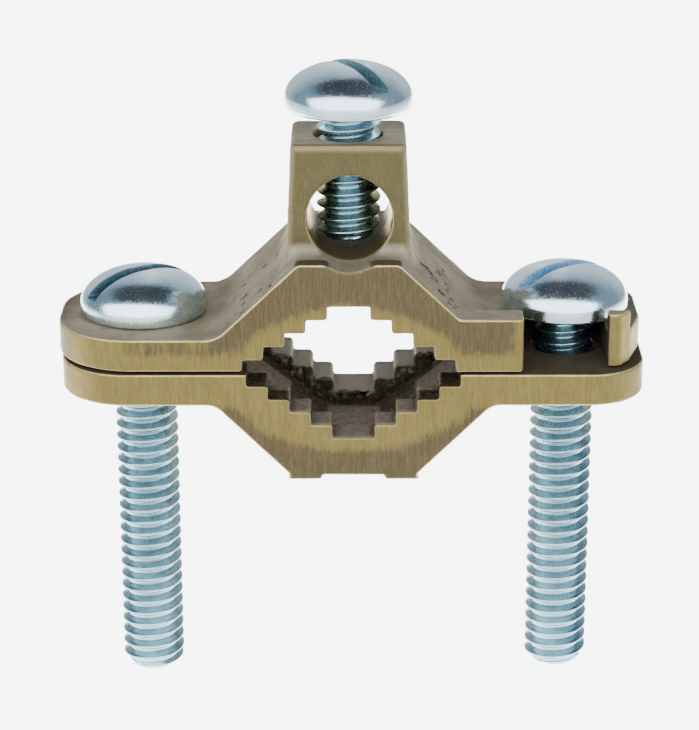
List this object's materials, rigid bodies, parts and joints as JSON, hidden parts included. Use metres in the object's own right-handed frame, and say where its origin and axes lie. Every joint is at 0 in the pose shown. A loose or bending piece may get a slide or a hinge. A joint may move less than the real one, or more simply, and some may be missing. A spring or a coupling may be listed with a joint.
{
  "type": "ground clamp",
  "caption": "Cast bronze pipe ground clamp: two stepped jaws joined by long slotted screws, with a hooked slot in one ear and a raised wire terminal with its own screw.",
  "frame": {"origin": "the clamped pipe's axis, in the parting plane of the jaws, midway along their depth", "axes": "+X along the clamp towards the slotted ear, +Y along the pipe away from the slot's mouth, +Z towards the wire terminal"},
  "size_m": [0.0576, 0.0182, 0.0636],
  "materials": {
    "cast_bronze": "sand-cast bronze, faces linished with fine vertical marks, tops dull grey-brown, edges worn bright",
    "zinc_steel": "bright bluish zinc plating on steel, semi-gloss"
  },
  "bodies": {
    "upper_jaw": {"upper_jaw": "cast_bronze"},
    "lower_jaw": {"lower_jaw": "cast_bronze"},
    "left_clamp_screw": {"left_clamp_screw": "zinc_steel"},
    "right_clamp_screw": {"right_clamp_screw": "zinc_steel"},
    "terminal_screw": {"terminal_screw": "zinc_steel"}
  },
  "joints": [
    {"name": "jaw_opening", "type": "slide", "parent": "upper_jaw", "child": "lower_jaw", "axis": [0, 0, -1], "range_m": [0, 0.02794]},
    {"name": "left_screw_turn", "type": "hinge", "parent": "upper_jaw", "child": "left_clamp_screw", "pos_m": [-0.02035, 0, 0.00345], "axis": [0, 0, 1], "range_deg": [0, 7920]},
    {"name": "right_screw_turn", "type": "hinge", "parent": "upper_jaw", "child": "right_clamp_screw", "pos_m": [0.02135, 0, 0.00384], "axis": [0, 0, 1], "range_deg": [0, 7920]},
    {"name": "terminal_screw_travel", "type": "slide", "parent": "upper_jaw", "child": "terminal_screw", "axis": [0, 0, 1], "range_m": [-0.0002, 0.00762]}
  ],
  "couplings": [
    {"joint": "left_screw_turn", "follows": "jaw_opening", "rad_per_m": 4947.4},
    {"joint": "right_screw_turn", "follows": "jaw_opening", "rad_per_m": 4947.4}
  ]
}
